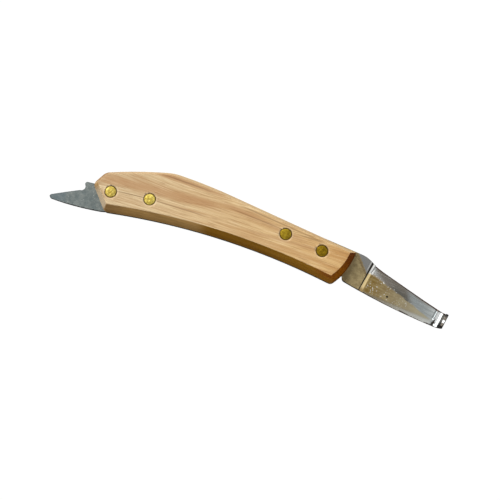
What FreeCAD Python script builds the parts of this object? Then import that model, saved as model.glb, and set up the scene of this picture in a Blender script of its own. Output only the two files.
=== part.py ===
import FreeCAD, Part
import math
import os

# Farrier's hoof knife with a hoof pick at the butt.
# Millimetres. X runs from the pick to the hook, +Y towards the spine, +Z out of the front face.
# Z = 0 is the flat outer face of the back scale, and the origin lies under the middle of the handle.

V = FreeCAD.Vector

# Thicknesses, stacked from the back scale up to the front scale
SCALE_THICKNESS = 8.0
STEEL_THICKNESS = 2.8
STEEL_BACK = SCALE_THICKNESS
STEEL_FRONT = STEEL_BACK + STEEL_THICKNESS
FACE_FRONT = STEEL_FRONT + SCALE_THICKNESS

# Handle outline where the scales meet the steel
FRONT_SPINE = (73.3, 7.1)
FRONT_BULGE = (71.6, -2.3)
FRONT_BELLY = (65.3, -13.4)
BELLY_HOLLOW = (-8.0, -8.05)
BUTT_BELLY = (-63.6, -13.2)
BUTT_NOSE = (-74.6, -0.2)
BUTT_SPINE = (-70.0, 7.9)
SPINE_CURVES = [(0.0, 16.45), (-30.0, 18.8), (-38.0, 17.95), BUTT_SPINE]  # from the front to the butt
CORNER_RADII = {        # at the steel, and where the corner reaches the face of the scale
    FRONT_BELLY: (2.8, 0.6),
    BUTT_BELLY: (3.2, 0.6),
    BUTT_NOSE: (4.0, 1.5),
    BUTT_SPINE: (6.5, 3.5),
}
SIDE_DRAFT = 2.8        # the sides of a scale lean in by this much between the steel and its face
FACE_EDGE_BREAK = 0.35

# Cutler's rivets: a male half pressed into a female half
RIVET_CENTRES = [(-62.4, -3.0), (-41.0, -0.6), (34.5, 3.7), (55.7, 0.9)]
RIVET_HEAD = 6.35       # quarter-inch head
RIVET_HEAD_HEIGHT = 2.0
RIVET_CROWN = 0.12      # the middle of a head stands this much above its rim
RIVET_RIM_DROP = 0.15   # the rim sits this much below the face of its scale
RIVET_EDGE_BREAK = 0.25
COUNTERBORE = 6.65
TUBE_OUTER = 3.8
TUBE_BORE = 2.6
PIN = 2.5
SHANK_HOLE = 3.9
TUBE_LENGTH = 11.0
PIN_LENGTH = 10.0

# Hoof pick
PICK_BELLY = (-66.0, -13.45)
PICK_BELLY_MIDDLE = (-80.6, -14.75)
PICK_TIP_BELLY = (-93.8, -14.85)
PICK_TIP = (-95.1, -13.8)
PICK_TIP_SPINE = (-94.1, -12.35)
PICK_NOTCH_START = (-80.3, -5.75)
PICK_NOTCH_BOTTOM = (-78.1, -4.15)
PICK_NOTCH_END = (-78.3, -2.45)
PICK_BARB = (-78.75, -1.1)
PICK_BARB_TOP = (-77.5, -0.15)
PICK_SPINE_IN_HANDLE = (-68.0, 0.5)
PICK_BELLY_IN_HANDLE = (-62.0, -12.5)
PICK_TAPER_LENGTH = 8.5
PICK_TIP_THICKNESS = 1.5

# Ricasso and blade, in plan
SPINE_RISES_FROM_WOOD = (50.0, 10.0)
RICASSO_SPINE_END = (76.8, 7.15)
SPINE_DROP_MIDDLE = (80.4, 6.3)
SPINE_DROP_END = (83.2, 4.9)
EDGE_START_MIDDLE = (87.2, 3.15)
EDGE_START = (92.3, 1.3)
EDGE_MIDDLE = (112.1, -5.0)
EDGE_END = (132.0, -11.3)
BACK_END = (131.0, -18.7)
BACK_MIDDLE = (106.0, -16.15)
HEEL = (70.6, -9.55)
HEEL_TOP = (69.0, -5.5)
HEEL_RADIUS = 1.8
TANG_CLEARANCE = [(63.0, -14.0), (64.5, -10.6), (68.8, -6.8), (76.0, -6.8), (76.0, -14.0)]

# Blade grind and hook, in a frame turned to the blade and starting at the grind shoulder
SHOULDER = (82.0, -2.5)
BLADE_ANGLE = -10.5
SHOULDER_WALL = 0.45    # the wall at the shoulder leans forward by this much
COVE_LENGTH = 2.2       # hollow between the wall and the flat of the blade
COVE_RISE = 0.25
BLADE_THICKNESS = 2.0
TIP_THICKNESS = 1.3
BLADE_LENGTH = 48.7
HOOK_RADIUS = 5.0
HOOK_SWEEP = 118.0
LIP_CORNER_RADIUS = 1.2

# Ground bevels on the front of the blade
EDGE_BEVEL = [          # point on the inner line, point on the edge, thickness left at the edge
    ((84.0, -0.55), (85.6, 3.8), 0.4),
    ((113.0, -11.45), (115.0, -6.4), 0.4),
    ((122.5, -15.0), (124.3, -8.95), 1.2),
]
BACK_BEVEL = [          # point on the back edge, width of the bevel there
    ((84.5, -12.6), 1.1),
    ((105.0, -16.0), 1.6),
    ((124.0, -18.25), 2.2),
]
BACK_BEVEL_DEPTH = 0.3

# Construction: how far cutters run past what they cut, and when two places count as one
OVERRUN = 1.0
HALF_SPAN = 20.0        # half the width of a block that covers the whole blade or pick
BEVEL_REACH = 12.0
SAME_PLACE = 0.01


def at(point, z):
    return V(point[0], point[1], z)


def line(start, end, z=0.0):
    return Part.LineSegment(at(start, z), at(end, z)).toShape()


def arc(start, middle, end, z=0.0):
    return Part.Arc(at(start, z), at(middle, z), at(end, z)).toShape()


def tangent_arc(start, heading, end):
    """Arc that leaves start along heading and ends at end, with its heading there."""
    chord = V(end[0] - start[0], end[1] - start[1], 0)
    turn = math.atan2(heading.x * chord.y - heading.y * chord.x, heading.dot(chord))
    half_way = FreeCAD.Rotation(V(0, 0, 1), math.degrees(-turn / 2))
    middle = at(start, 0.0) + half_way.multVec(chord) * (0.5 / math.cos(turn / 2))
    end_heading = FreeCAD.Rotation(V(0, 0, 1), math.degrees(2 * turn)).multVec(heading)
    return arc(start, middle, end), end_heading


def prism(wire, bottom, top):
    """Solid between two heights over a closed wire drawn at Z = 0."""
    face = Part.Face(wire)
    face.translate(V(0, 0, bottom))
    return face.extrude(V(0, 0, top - bottom))


def polygon_prism(points, bottom, top):
    wire = Part.makePolygon([at(p, 0.0) for p in points + points[:1]])
    return prism(wire, bottom, top)


def corner_edges(shape, point):
    """The upright or leaning edges of a block that start or end over one plan point."""
    found = []
    for edge in shape.Edges:
        ends = [vertex.Point for vertex in edge.Vertexes]
        climbs = abs(ends[-1].z - ends[0].z) > SAME_PLACE
        if climbs and any(math.hypot(e.x - point[0], e.y - point[1]) < SAME_PLACE for e in ends):
            found.append(edge)
    return found


def face_at(shape, z):
    """The largest flat face of a shape at one height."""
    level = [f for f in shape.Faces if f.BoundBox.ZMin > z - SAME_PLACE and f.BoundBox.ZMax < z + SAME_PLACE]
    return max(level, key=lambda f: f.Area)


def handle_outline():
    """Closed wire round the handle where the wood meets the steel, before its corners are rounded."""
    edges = [
        arc(FRONT_SPINE, FRONT_BULGE, FRONT_BELLY),
        arc(FRONT_BELLY, BELLY_HOLLOW, BUTT_BELLY),
        line(BUTT_BELLY, BUTT_NOSE),
        line(BUTT_NOSE, BUTT_SPINE),
    ]
    spine = [line(FRONT_SPINE, SPINE_CURVES[0])]
    heading = at(SPINE_CURVES[0], 0.0) - at(FRONT_SPINE, 0.0)
    heading.normalize()
    for start, end in zip(SPINE_CURVES, SPINE_CURVES[1:]):
        edge, heading = tangent_arc(start, heading, end)
        spine.append(edge)
    return Part.Wire(edges + spine[::-1])


def hole(diameter, centre, one_end, other_end):
    bottom = min(one_end, other_end)
    return Part.makeCylinder(diameter / 2, abs(other_end - one_end), at(centre, bottom))


def scale(outline, steel_z, face_z):
    """One wooden handle scale, drafted from the steel to its face and bored for the rivets."""
    at_steel = outline.copy()
    at_steel.translate(V(0, 0, steel_z))
    at_face = outline.makeOffset2D(-SIDE_DRAFT)
    at_face.translate(V(0, 0, face_z))
    wood = Part.makeLoft([at_steel, at_face], True, True)
    for corner, (steel_radius, face_radius) in CORNER_RADII.items():
        wood = wood.makeFillet(steel_radius, face_radius, corner_edges(wood, corner))
    rim = face_at(wood, face_z).OuterWire
    wood = wood.makeFillet(FACE_EDGE_BREAK, rim.Edges)
    outward = 1 if face_z > steel_z else -1
    seat_z = face_z - outward * (RIVET_RIM_DROP + RIVET_HEAD_HEIGHT)
    for centre in RIVET_CENTRES:
        wood = wood.cut(hole(SHANK_HOLE, centre, steel_z, face_z))
        wood = wood.cut(hole(COUNTERBORE, centre, seat_z, face_z + outward * OVERRUN))
    return wood


def pick():
    """The hoof pick: a pointed plate with a rounded barb, tapered to its tip on both faces."""
    outline = Part.Wire([
        line(PICK_BELLY_IN_HANDLE, PICK_BELLY),
        arc(PICK_BELLY, PICK_BELLY_MIDDLE, PICK_TIP_BELLY),
        arc(PICK_TIP_BELLY, PICK_TIP, PICK_TIP_SPINE),
        line(PICK_TIP_SPINE, PICK_NOTCH_START),
        arc(PICK_NOTCH_START, PICK_NOTCH_BOTTOM, PICK_NOTCH_END),
        arc(PICK_NOTCH_END, PICK_BARB, PICK_BARB_TOP),
        line(PICK_BARB_TOP, PICK_SPINE_IN_HANDLE),
        line(PICK_SPINE_IN_HANDLE, PICK_BELLY_IN_HANDLE),
    ])
    plate = prism(outline, STEEL_BACK, STEEL_FRONT)
    drop = (STEEL_THICKNESS - PICK_TIP_THICKNESS) / 2
    tip_x = PICK_TIP[0]
    root_x = tip_x + PICK_TAPER_LENGTH
    for surface_z, outward in ((STEEL_FRONT, 1), (STEEL_BACK, -1)):
        ramp = Part.makePolygon([
            V(root_x, -HALF_SPAN, surface_z),
            V(tip_x, -HALF_SPAN, surface_z - outward * drop),
            V(tip_x, -HALF_SPAN, surface_z + outward * OVERRUN),
            V(root_x, -HALF_SPAN, surface_z),
        ])
        plate = plate.cut(Part.Face(ramp).extrude(V(0, 2 * HALF_SPAN, 0)))
    return plate


def blade_plan(bottom, top):
    """Upright block with the plan outline of ricasso, blade and hook."""
    outline = Part.Wire([
        line(SPINE_RISES_FROM_WOOD, RICASSO_SPINE_END),
        arc(RICASSO_SPINE_END, SPINE_DROP_MIDDLE, SPINE_DROP_END),
        arc(SPINE_DROP_END, EDGE_START_MIDDLE, EDGE_START),
        arc(EDGE_START, EDGE_MIDDLE, EDGE_END),
        line(EDGE_END, BACK_END),
        arc(BACK_END, BACK_MIDDLE, HEEL),
        line(HEEL, HEEL_TOP),
        line(HEEL_TOP, SPINE_RISES_FROM_WOOD),
    ])
    block = prism(outline, bottom, top)
    return block.makeFillet(HEEL_RADIUS, corner_edges(block, HEEL))


def polar(centre_u, centre_z, radius, degrees):
    angle = math.radians(degrees)
    return V(centre_u + radius * math.cos(angle), 0, centre_z + radius * math.sin(angle))


def blade_side_profile():
    """Closed side view of the ground blade and its hook; X is the distance from the shoulder."""
    flat_z = STEEL_BACK + BLADE_THICKNESS
    curl_u = BLADE_LENGTH - HOOK_RADIUS
    curl_z = STEEL_BACK + HOOK_RADIUS
    inner_radius = HOOK_RADIUS - TIP_THICKNESS
    foot = -90.0
    lip = foot + HOOK_SWEEP
    middle = (foot + lip) / 2
    outer_arc = [polar(curl_u, curl_z, HOOK_RADIUS, a) for a in (foot, middle, lip)]
    inner_arc = [polar(curl_u, curl_z, inner_radius, a) for a in (lip, middle, foot)]
    cove_end = V(SHOULDER_WALL + COVE_LENGTH, 0, flat_z)
    cove_middle = V(SHOULDER_WALL + COVE_LENGTH / 2, 0, flat_z + COVE_RISE / 4)
    wall_foot = V(SHOULDER_WALL, 0, flat_z + COVE_RISE)
    shoulder = V(0, 0, STEEL_FRONT)
    inside_ricasso = [V(-OVERRUN, 0, STEEL_FRONT), V(-OVERRUN, 0, STEEL_BACK)]
    edges = [
        Part.LineSegment(inside_ricasso[1], outer_arc[0]),
        Part.Arc(*outer_arc),
        Part.LineSegment(outer_arc[-1], inner_arc[0]),
        Part.Arc(*inner_arc),
        Part.LineSegment(inner_arc[-1], cove_end),
        Part.Arc(cove_end, cove_middle, wall_foot),
        Part.LineSegment(wall_foot, shoulder),
        Part.LineSegment(shoulder, inside_ricasso[0]),
        Part.LineSegment(*inside_ricasso),
    ]
    return Part.Wire([e.toShape() for e in edges])


def set_at_shoulder(shape):
    """Turn a shape built along the blade's own axis and move it to the grind shoulder."""
    shape.rotate(V(0, 0, 0), V(0, 0, 1), BLADE_ANGLE)
    shape.translate(at(SHOULDER, 0.0))
    return shape


def ground_blade():
    """The blade from its shoulder to the hook: side profile and plan outline together."""
    side = Part.Face(blade_side_profile())
    side.translate(V(0, -HALF_SPAN, 0))
    body = set_at_shoulder(side.extrude(V(0, 2 * HALF_SPAN, 0)))
    hook_top = STEEL_BACK + 2 * HOOK_RADIUS
    return rounded_lip(body.common(blade_plan(STEEL_BACK - OVERRUN, hook_top + OVERRUN)))


def ricasso():
    """Full-thickness steel between the handle and the grind shoulder."""
    length = BLADE_LENGTH + HALF_SPAN
    ahead = Part.makeBox(length, 2 * HALF_SPAN, STEEL_THICKNESS + 2 * OVERRUN)
    ahead.translate(V(0, -HALF_SPAN, STEEL_BACK - OVERRUN))
    return blade_plan(STEEL_BACK, STEEL_FRONT).cut(set_at_shoulder(ahead))


def blade_thickness_at(point):
    """Thickness of the flat of the blade over one plan point, before its bevels are cut."""
    angle = math.radians(BLADE_ANGLE)
    along = (point[0] - SHOULDER[0]) * math.cos(angle) + (point[1] - SHOULDER[1]) * math.sin(angle)
    flat_start = SHOULDER_WALL + COVE_LENGTH
    flat_end = BLADE_LENGTH - HOOK_RADIUS
    share = (along - flat_start) / (flat_end - flat_start)
    return BLADE_THICKNESS + share * (TIP_THICKNESS - BLADE_THICKNESS)


def bevel_cutter(sections):
    """Wedge above a ground bevel, lofted through sections.

    Each section gives a point on the bevel's inner line, one on the edge and the thickness left there.
    """
    wires = []
    for inner, edge, thickness_left in sections:
        start = at(inner, STEEL_BACK + blade_thickness_at(inner))
        slope = at(edge, STEEL_BACK + thickness_left) - start
        slope.normalize()
        far = start + slope * BEVEL_REACH
        up = start.z + BEVEL_REACH
        wires.append(Part.makePolygon([start, far, V(far.x, far.y, up), V(start.x, start.y, up), start]))
    return Part.makeLoft(wires, True, True)


def back_bevel_sections():
    """Sections of the narrow bevel along the back of the blade, opposite the cutting edge."""
    angle = math.radians(BLADE_ANGLE)
    sections = []
    for edge, width in BACK_BEVEL:
        inner = (edge[0] - width * math.sin(angle), edge[1] + width * math.cos(angle))
        sections.append((inner, edge, blade_thickness_at(edge) - BACK_BEVEL_DEPTH))
    return sections


def rounded_lip(blade):
    """Round the two corners of the hook's lip."""
    lip_z = max(v.Z for v in blade.Vertexes)
    corners = []
    for edge in blade.Edges:
        in_the_lip = all(v.Z > lip_z - TIP_THICKNESS for v in edge.Vertexes)
        if in_the_lip and abs(edge.Length - TIP_THICKNESS) < 5 * SAME_PLACE:
            corners.append(edge)
    return blade.makeFillet(LIP_CORNER_RADIUS, corners)


def blank(outline):
    """The one-piece steel: pick, full tang, ricasso, ground blade and hook."""
    tang = prism(outline, STEEL_BACK, STEEL_FRONT)
    for corner, (radius, _) in CORNER_RADII.items():
        tang = tang.makeFillet(radius, corner_edges(tang, corner))
    tang = tang.cut(polygon_prism(TANG_CLEARANCE, STEEL_BACK - OVERRUN, STEEL_FRONT + OVERRUN))
    steel = tang.fuse([pick(), ricasso(), ground_blade()]).removeSplitter()
    for centre in RIVET_CENTRES:
        steel = steel.cut(hole(SHANK_HOLE, centre, STEEL_BACK, STEEL_FRONT))
    return steel.cut([bevel_cutter(EDGE_BEVEL), bevel_cutter(back_bevel_sections())])


def rivet_head():
    """Head of a rivet half: a short cylinder with a crowned top, seated at Z = 0."""
    radius = RIVET_HEAD / 2
    top = RIVET_HEAD_HEIGHT + RIVET_CROWN
    ball_radius = radius ** 2 / (2 * RIVET_CROWN)
    head = Part.makeCylinder(radius, top)
    head = head.common(Part.makeSphere(ball_radius, V(0, 0, top - ball_radius)))
    rim = [e for e in head.Edges if e.Closed and e.BoundBox.ZMin > RIVET_HEAD_HEIGHT / 2]
    return head.makeFillet(RIVET_EDGE_BREAK, rim)


def rivet_male(centre):
    """Front half: head in the front scale and a solid pin down into the other half's tube."""
    half = rivet_head().fuse(Part.makeCylinder(PIN / 2, PIN_LENGTH, V(0, 0, -PIN_LENGTH)))
    half.translate(at(centre, FACE_FRONT - RIVET_RIM_DROP - RIVET_HEAD_HEIGHT))
    return half


def rivet_female(centre):
    """Back half: head in the back scale and a tube up through the steel."""
    tube = Part.makeCylinder(TUBE_OUTER / 2, TUBE_LENGTH, V(0, 0, -TUBE_LENGTH))
    bore = Part.makeCylinder(TUBE_BORE / 2, TUBE_LENGTH, V(0, 0, -TUBE_LENGTH))
    half = rivet_head().fuse(tube).cut(bore)
    half.rotate(V(0, 0, 0), V(1, 0, 0), 180)
    half.translate(at(centre, RIVET_RIM_DROP + RIVET_HEAD_HEIGHT))
    return half


def build():
    outline = handle_outline()
    nodes = {
        "blade_blank": blank(outline),
        "front_scale": scale(outline, STEEL_FRONT, FACE_FRONT),
        "back_scale": scale(outline, STEEL_BACK, 0.0),
    }
    for number, centre in enumerate(RIVET_CENTRES, start=1):
        nodes[f"rivet_{number}_male"] = rivet_male(centre)
        nodes[f"rivet_{number}_female"] = rivet_female(centre)
    return nodes


def describe(shape):
    box = shape.BoundBox
    spans = [(box.XMin, box.XMax), (box.YMin, box.YMax), (box.ZMin, box.ZMax)]
    size = ", ".join("%.2f to %.2f" % span for span in spans)
    return "valid %s, %d solid, %.1f mm3, %s" % (shape.isValid(), len(shape.Solids), shape.Volume, size)


os.makedirs("parts", exist_ok=True)
for name, shape in build().items():
    shape.exportStep(f"parts/{name}.step")
    print(name, describe(shape))
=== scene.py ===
import math

import bmesh
import bpy
from mathutils import Matrix, Vector, noise


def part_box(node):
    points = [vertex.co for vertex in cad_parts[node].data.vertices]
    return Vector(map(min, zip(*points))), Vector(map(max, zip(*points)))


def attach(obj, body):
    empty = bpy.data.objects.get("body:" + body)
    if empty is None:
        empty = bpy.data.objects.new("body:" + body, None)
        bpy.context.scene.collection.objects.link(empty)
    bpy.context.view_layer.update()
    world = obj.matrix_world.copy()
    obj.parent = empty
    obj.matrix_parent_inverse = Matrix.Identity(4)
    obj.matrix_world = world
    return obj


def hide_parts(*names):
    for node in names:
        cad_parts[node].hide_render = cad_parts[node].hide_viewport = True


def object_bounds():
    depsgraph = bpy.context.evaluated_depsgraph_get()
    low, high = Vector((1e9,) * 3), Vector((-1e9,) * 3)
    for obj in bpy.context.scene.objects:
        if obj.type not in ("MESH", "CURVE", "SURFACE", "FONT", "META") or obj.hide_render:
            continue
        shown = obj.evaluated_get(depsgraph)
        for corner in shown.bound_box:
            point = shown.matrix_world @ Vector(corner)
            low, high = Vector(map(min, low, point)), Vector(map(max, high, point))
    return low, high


# Looks of a farrier's hoof knife: its steel, two wooden scales and four two-part cutler's rivets.
# Lengths are metres in the row frame, except where a comment says mm. Colours are 0 to 255.

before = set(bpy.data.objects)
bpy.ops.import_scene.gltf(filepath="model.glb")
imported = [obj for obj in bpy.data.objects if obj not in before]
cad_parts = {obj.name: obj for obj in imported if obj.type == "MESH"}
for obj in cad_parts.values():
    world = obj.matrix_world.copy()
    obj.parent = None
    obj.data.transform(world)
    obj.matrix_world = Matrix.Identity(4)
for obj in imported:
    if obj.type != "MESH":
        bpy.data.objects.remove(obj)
cad_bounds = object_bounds()

MM = 0.001
X, Y, Z = Vector((1, 0, 0)), Vector((0, 1, 0)), Vector((0, 0, 1))
BODY = "root"
RIVETS = (1, 2, 3, 4)

# Mesh building
WELD = 0.002 * MM
LEVEL = 0.02 * MM                   # two heights closer than this are the same surface
FACET_ANGLE = math.radians(0.05)    # neighbours that turn less than this are one face
RIM_ANGLE = math.radians(20.0)      # an edge sharper than this can carry a rim
CREASE_ANGLE = math.radians(24.0)
RIVET_CREASE_ANGLE = math.radians(40.0)
WOOD_SLICES = ((X, 1.6 * MM), (Y, 1.2 * MM), (Z, 1.6 * MM))
STEEL_SLICE = 0.9 * MM
BURIED = 1.0 * MM                   # a level face deeper than this in a scale is a counterbore or the inside
FLAT_COSINE = 0.99                  # a face whose normal is this close to a direction lies square to it
UPRIGHT_COSINE = 0.1                # and one whose normal is this far from it lies along it
FLAT_SIDE_COSINE = 0.02             # the blade's flat tilts less than this towards its edges

# Relief: depths in mm, and rates in waves for each mm along three directions
SAND_WAVE, SAND_RATES = 0.06, (0.06, 0.12, 0.12)
GRAIN_COMB, COMB_RATES = 0.03, (0.08, 1.1, 1.1)
TUMBLE_PITS, PIT_RATE, SMALL_PIT_RATE = 0.06, 0.7, 1.9
GRIND_WAVE, GRIND_RATES = 0.03, (0.25, 0.05, 1.0)
HEAD_UNEVEN, HEAD_RATES = 0.02, (0.5, 0.5, 0.0)
DENT_DEPTH = 0.05
RELIEF_FADE = 4.0 * MM              # the grinding waves die out over this length before the hook

# Rivet heads
HEAD_HEIGHT = 2.0 * MM
RIM_ROUND = 0.3 * MM
CROWN_DROP = 0.12 * MM
CROWN_RINGS = 12
RIM_RINGS = 4
SHANK_CORNER = 0.2 * MM
RIVET_SEGMENTS = 64
DENTS = 4
DENT_RADIUS = 0.6 * MM
DENT_SCATTER = 1.4                  # how far the dents spread, in head radii

# Steel
TANG_MARGIN = 12.0 * MM             # how far under the wood the finish of the shown steel runs
COVE_REACH = 3.2 * MM
HOOK_REACH_SHARE = 0.68             # outer radius over height, for a curl of 118 degrees
FLAT_START = 0.8 * COVE_REACH       # the blade's flat starts farther from the shoulder than this,
FLAT_HEIGHT = 1.0 * MM              # and lies higher than this over the back
EDGE_START = 2.0 * COVE_REACH       # the straight cutting edge starts farther from the shoulder than this,
EDGE_HEIGHT = 8.0 * MM              # and lies higher than this over the lower edge
CREASE_FOOT = 4.0 * MM              # the crease ends between this height and EDGE_HEIGHT

# Stage and light
FLOOR_REACH = 6.0                   # from its middle to each side
FLOOR_GAP = 0.05 * MM
FLOOR_WHITE = (0.93, 0.93, 0.93, 1)
FLOOR_MIRRORED = (0.30, 0.29, 0.27, 1)    # what the knife mirrors in place of the white floor
FLOOR_GLOW = 1.03                   # keeps the floor white to the camera
GLOW_SHARE = 0.98                   # the rest of the floor's look is diffuse, and takes the shadow
KEY_DIRECTION = (-0.62, 0.40, 0.66)
SKY_TURN = (-0.4, 1.0)              # cosines to the key light between which the sky brightens
SKY_STRENGTH = (0.12, 0.42)
SKY_SEEN = 1.0                      # the sky's strength to the camera
SOFTBOX_DISTANCE = 1.2
SOFTBOXES = (                       # name, direction, width and height, power
    ("key", KEY_DIRECTION, (0.7, 0.7), 14.2),
    ("rim", (0.0, 0.9, 0.4), (0.6, 0.3), 3.0),
    ("fill", (0.75, -0.35, 0.55), (0.8, 0.8), 2.5),
)

# Camera
CAMERA_LEAN = math.radians(10.0)        # from the normal of the handle's face towards the belly
CAMERA_SIDEWAYS = math.radians(4.0)     # towards the blade
CAMERA_TURN = math.radians(17.6)        # round the line of sight
CAMERA_DISTANCE = 650 * MM
CAMERA_HALF_VIEW = 135 * MM             # half of the picture's side, at the knife
CAMERA_X, CAMERA_Y = 18.4 * MM, -9.0 * MM   # the point of the knife in the middle of the picture


# ---------------------------------------------------------------- places read from the frame

SCALE_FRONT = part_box("front_scale")
SCALE_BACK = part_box("back_scale")
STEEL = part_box("blade_blank")
STEEL_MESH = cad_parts["blade_blank"].data
STEEL_POINTS = [v.co for v in STEEL_MESH.vertices]
STEEL_TOP = SCALE_FRONT[0].z
STEEL_BOTTOM = SCALE_BACK[1].z
HANDLE_BUTT_X = SCALE_FRONT[0].x
HANDLE_FRONT_X = SCALE_FRONT[1].x


def on_handle(share_x, share_y):
    """A point over the handle, as shares of its box from the butt to the front and from belly to spine."""
    low, high = SCALE_FRONT
    return Vector((low.x + share_x * (high.x - low.x), low.y + share_y * (high.y - low.y), 0.0))


def blade_axes():
    """Unit vectors along and across the blade: the hook's lip lies square to the blade."""
    lip = sorted((p for p in STEEL_POINTS if p.z > STEEL[1].z - LEVEL), key=lambda p: p.y)
    across = lip[-1] - lip[0]
    across.z = 0.0
    across.normalize()
    return Vector((across.y, -across.x, 0.0)), across


ALONG, ACROSS = blade_axes()

# Places along the blade's axis: where the full-thickness ricasso ends, and where the hook starts
SHOULDER = max(p.dot(ALONG) for p in STEEL_POINTS if abs(p.z - STEEL_TOP) < LEVEL)
BLADE_END = max(p.dot(ALONG) for p in STEEL_POINTS)
HOOK_START = BLADE_END - (STEEL[1].z - STEEL_BOTTOM) * HOOK_REACH_SHARE
BLADE_LENGTH = (HOOK_START - SHOULDER) / MM
LIP_Z = (STEEL_BOTTOM + 2 * STEEL[1].z) / 3


def blade_flat_face():
    """The corners of the blade's unground face, seen from the front."""
    corners = []
    for face in STEEL_MESH.polygons:
        if face.normal.dot(Z) > FLAT_COSINE and abs(face.normal.dot(ACROSS)) < FLAT_SIDE_COSINE:
            corners += [STEEL_POINTS[i] for i in face.vertices]
    raised = [c for c in corners if c.z > STEEL_BOTTOM + FLAT_HEIGHT]
    return [c for c in raised if SHOULDER + FLAT_START < c.dot(ALONG) < HOOK_START]


BLADE_FACE = blade_flat_face()
BLADE_LOW = min(c.dot(ACROSS) for c in BLADE_FACE)


def on_blade(along, across):
    """A point over the blade, in mm from the shoulder and from the blade's lower edge."""
    return ALONG * (SHOULDER + along * MM) + ACROSS * (BLADE_LOW + across * MM)


def crease_line():
    """Where the bevel begins: a point of the crease and the direction across it, towards the bevel."""
    first = max(BLADE_FACE, key=lambda c: c.dot(ACROSS))
    inner = [c for c in BLADE_FACE if CREASE_FOOT < c.dot(ACROSS) - BLADE_LOW < EDGE_HEIGHT]
    last = max(inner, key=lambda c: c.dot(ALONG))
    side = Z.cross(last - first)
    return first, side.normalized()


def cutting_edge():
    """The cutting edge seen from the front: a point of it and the direction out of the blade."""
    back = [p for p in STEEL_POINTS if p.z < STEEL_BOTTOM + LEVEL and p.dot(ACROSS) > BLADE_LOW + EDGE_HEIGHT]
    outline = [p for p in back if p.dot(ALONG) > SHOULDER + EDGE_START]
    first = min(outline, key=lambda c: c.dot(ALONG))
    last = max(outline, key=lambda c: c.dot(ALONG))
    side = Z.cross(last - first)
    return first, side.normalized()


def rivet_axis(number):
    """Centre line and head radius of a rivet."""
    low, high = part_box(f"rivet_{number}_male")
    return (low + high) / 2, (high.x - low.x) / 2


CREASE, CREASE_SIDE = crease_line()
EDGE, EDGE_SIDE = cutting_edge()
RIVET_AXES = [rivet_axis(number) for number in RIVETS]


# ---------------------------------------------------------------- node graphs

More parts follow.
